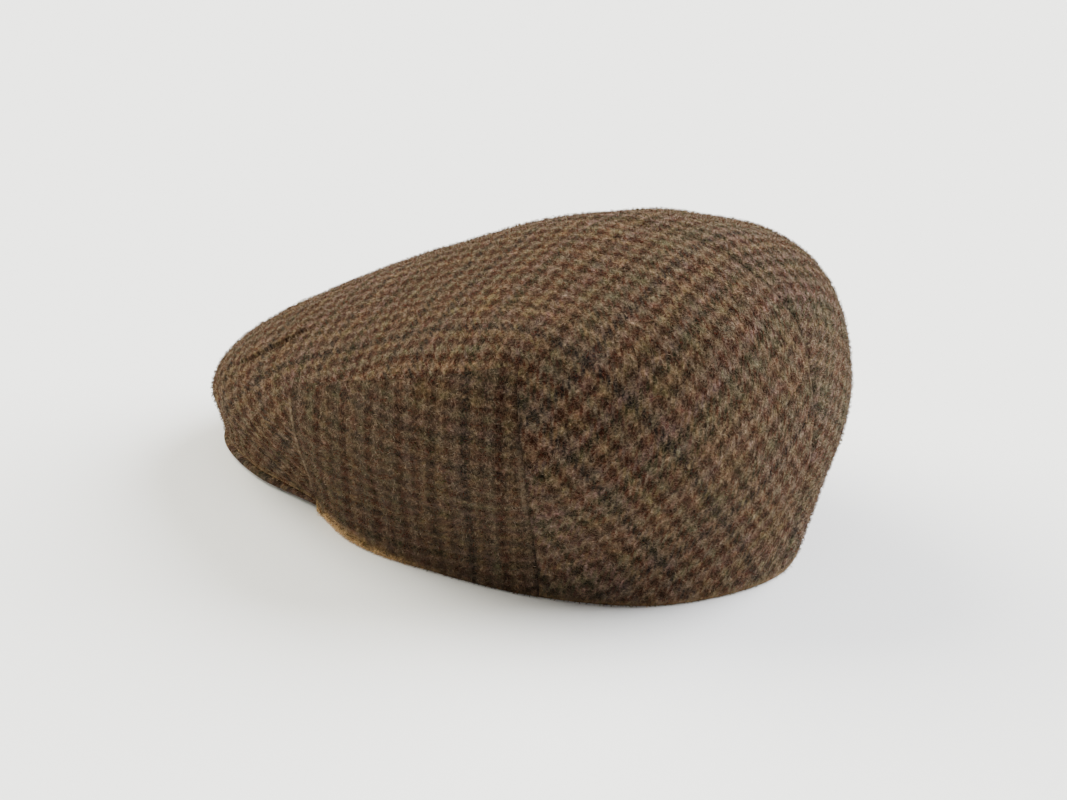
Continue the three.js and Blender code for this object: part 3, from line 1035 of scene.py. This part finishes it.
# loose wool standing off the cloth, each hair a slender bent prism
woolFuzz = {
    "seed": 8,
    "perSquareMm": 0.5,
    "length": (1.1, 2.6),
    "width": 0.2,
    "taper": (0.5, 0.4),  # half widths at the root and at the bend
    "rise": 1.1,  # off the cloth, for one along it
    "riseRange": (0.4, 1.2),
    "curl": 0.8,
    "droop": 0.6,
    "rootDepth": 0.2,
    "offFloor": 0.1,
    "seamBare": 0.9,  # how much thinner the wool is in a seam's valley
    "seamFrom": (0.02, 0.4),
    "frayedMore": 6.0,  # how much denser the frayed hem is
    "frayedFrom": (0.3, 0.7),
    "frayedGold": 0.8,
    "finish": {"Roughness": 0.9, "Specular IOR Level": 0.1},
    "dyes": {
        "pale": (138, 119, 99),
        "tan": (106, 86, 66),
        "rust": (80, 34, 18),
        "olive": (52, 55, 26),
        "dark": (44, 26, 13),
        "gold": (212, 178, 134),
    },
    "shares": [  # of pale, tan, rust, olive and dark hairs, where no, one or two stripes are dark
        (0.44, 0.50, 0.03, 0.03, 0.00),
        (0.18, 0.45, 0.16, 0.13, 0.08),
        (0.01, 0.08, 0.30, 0.23, 0.38),
    ],
}


def readPoints(data, key):
    values = np.empty(3 * len(data), np.float32)
    data.foreach_get(key, values)
    return values.reshape(-1, 3)


def hairRoots(piece, repeat, rng):
    f = woolFuzz
    mesh = piece.data
    mesh.calc_loop_triangles()
    points = (readPoints(mesh.vertices, "co") * 1000).astype(float)
    normals = readPoints(mesh.vertex_normals, "vector").astype(float)
    grain, sewn = (readPoints(mesh.attributes[key].data, "vector").astype(float) for key in ("grain", "sewn"))
    corners = np.empty(3 * len(mesh.loop_triangles), np.int32)
    mesh.loop_triangles.foreach_get("vertices", corners)
    corners = corners.reshape(-1, 3)
    corners = corners[(grain[corners, 2] == 0).all(1)]  # outer face only
    a, b, c = (points[corners[:, k]] for k in range(3))
    area = np.linalg.norm(np.cross(b - a, c - a), axis=1) / 2
    frayed = smooth(sewn[corners, 1].mean(1), *f["frayedFrom"])
    bare = f["seamBare"] * smooth(sewn[corners, 0].max(1), *f["seamFrom"])
    amount = area * (1 + frayed * f["frayedMore"]) * (1 - bare)
    pick = rng.choice(len(corners), int(amount.sum() * f["perSquareMm"]), p=amount / amount.sum())
    share = rng.dirichlet((1, 1, 1), len(pick))[:, :, None]
    root, normal, place = ((values[corners[pick]] * share).sum(1) for values in (points, normals, grain))
    stripes = np.abs((place[:, :2] / np.array(repeat[:2])) % 1 - 0.5) < tweed["darkShare"] / 2
    table = np.cumsum(np.array(f["shares"]), 1)[stripes.sum(1)]
    kind = (rng.random(len(pick))[:, None] > table[:, :-1]).sum(1)
    kind[rng.random(len(pick)) < frayed[pick] * f["frayedGold"]] = list(f["dyes"]).index("gold")
    return root, normal, kind


def hairMesh(root, normal, rng):  # base, bend and tip of every hair
    f = woolFuzz
    n = len(root)
    side = np.cross(normal, rng.normal(size=(n, 3)))
    side /= np.linalg.norm(side, axis=1, keepdims=True)
    across = np.cross(normal, side)
    length = (f["length"][0] + (f["length"][1] - f["length"][0]) * rng.random(n) ** 2)[:, None]
    rise = f["rise"] * (f["riseRange"][0] + f["riseRange"][1] * rng.random(n))[:, None]
    way = side + normal * rise
    way /= np.linalg.norm(way, axis=1, keepdims=True)
    around = np.cross(way, across)
    middle = root + way * length * 0.5
    curl = across * rng.uniform(-f["curl"], f["curl"], (n, 1))
    tip = middle + (way + curl - normal * rise * f["droop"]) * length * 0.5
    corners = []
    for centre, half in zip((root - normal * f["rootDepth"], middle), f["taper"]):
        for k in range(3):
            turn = 2 * math.pi * k / 3
            corners.append(centre + (across * math.cos(turn) + around * math.sin(turn)) * f["width"] * half)
    points = np.stack(corners + [tip], 1)
    points[:, :, 2] = np.maximum(points[:, :, 2], f["offFloor"])
    loops = [(2, 1, 0)]
    for k in range(3):
        j = (k + 1) % 3
        loops += [(k, j, j + 3), (k, j + 3, k + 3), (k + 3, j + 3, 6)]
    faces = (np.array(loops)[None] + points.shape[1] * np.arange(n)[:, None, None]).reshape(-1, 3)
    return points.reshape(-1, 3), faces


def makeFuzz():
    f = woolFuzz
    rng = np.random.default_rng(f["seed"])
    found = [hairRoots(piece, tweed["repeat"], rng) for piece in tops]
    found += [hairRoots(piece, sideCloth["Repeat"], rng) for piece in sides]
    root, normal, kind = (np.concatenate(parts) for parts in zip(*found))
    pieces = []
    for k, (name, colour) in enumerate(f["dyes"].items()):
        points, faces = hairMesh(root[kind == k], normal[kind == k], rng)
        piece = writeMesh("wool_" + name, points, faces.tolist())
        piece.data.materials.append(plainMaterial("wool_" + name, {"Base Color": dye(colour), **f["finish"]}))
        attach(piece, "root")
        pieces.append(piece)
    return pieces


fuzz = makeFuzz()
print("loose wool made", [len(o.data.polygons) for o in fuzz])


# pale floor, broad soft lamps and an even sky
studio = {
    "floor": {"Base Color": (0.90, 0.90, 0.90, 1), "Roughness": 0.9},
    "floorHalf": 5.0,  # in metres, as are the lamps' and the camera's places
    "sky": (1.0, 1.0, 1.0, 1),
    "skyStrength": 0.16,
    "lampAway": 2,
    "lamps": [  # name, turn from the front, climb, strength, spread, colour
        ("overhead", 0, 80, 1.6, 70, (1.0, 0.98, 0.93)),
        ("frontLow", 2, 28, 8.4, 60, (1.0, 0.97, 0.82)),
        ("backRight", 240, 30, 12.2, 60, (0.96, 0.98, 1.0)),
        ("lowFill", 150, 4, 0.9, 40, (1.0, 0.98, 0.95)),
    ],
}


def wayTo(turn, climb):  # in degrees, from the front and from the floor
    a, e = math.radians(turn), math.radians(climb)
    return Vector((math.sin(a) * math.cos(e), -math.cos(a) * math.cos(e), math.sin(e)))


def makeStudio():
    s, half = studio, studio["floorHalf"]
    mesh = bpy.data.meshes.new("floor")
    corners = [(-half, -half, 0), (half, -half, 0), (half, half, 0), (-half, half, 0)]
    mesh.from_pydata(corners, [], [(0, 1, 2, 3)])
    mesh.materials.append(plainMaterial("floor_paint", s["floor"]))
    floor = placed("floor", mesh)
    world = bpy.data.worlds.new("studio")
    world.use_nodes = True
    world.node_tree.nodes["Background"].inputs[0].default_value = s["sky"]
    world.node_tree.nodes["Background"].inputs[1].default_value = s["skyStrength"]
    bpy.context.scene.world = world
    for name, turn, climb, strength, spread, colour in s["lamps"]:
        lamp = bpy.data.lights.new(name, "SUN")
        lamp.energy = strength
        lamp.color = colour
        lamp.angle = math.radians(spread)
        source = wayTo(turn, climb)
        holder = placed(name, lamp)
        holder.location = source * s["lampAway"]
        holder.rotation_euler = (-source).to_track_quat("-Z", "Y").to_euler()


makeStudio()

photoCamera = {
    "azimuth": 121.0,
    "elevation": 21.2,
    "roll": -3.8,
    "distance": 1.0,
    "focal": 2790 / 1067,  # in picture widths
    "film": 36,
    "nearest": 0.01,
    "aim": (0.034, 0.02825, 0.055),
}


def makeCamera():
    p = photoCamera
    a, r = math.radians(p["azimuth"]), math.radians(p["roll"])
    back = wayTo(p["azimuth"], p["elevation"])
    right = Vector((math.cos(a), math.sin(a), 0))
    up = back.cross(right)
    turnedRight = right * math.cos(r) - up * math.sin(r)
    turnedUp = right * math.sin(r) + up * math.cos(r)
    lens = bpy.data.cameras.new("photo")
    lens.sensor_fit = "HORIZONTAL"
    lens.sensor_width = p["film"]
    lens.lens = p["film"] * p["focal"]
    lens.clip_start = p["nearest"]
    camera = placed("photo", lens)
    place = Vector(p["aim"]) + back * p["distance"]
    turn = Matrix((turnedRight, turnedUp, back)).transposed().to_4x4()
    camera.matrix_world = Matrix.Translation(place) @ turn
    bpy.context.scene.camera = camera


makeCamera()
print("studio and camera set")
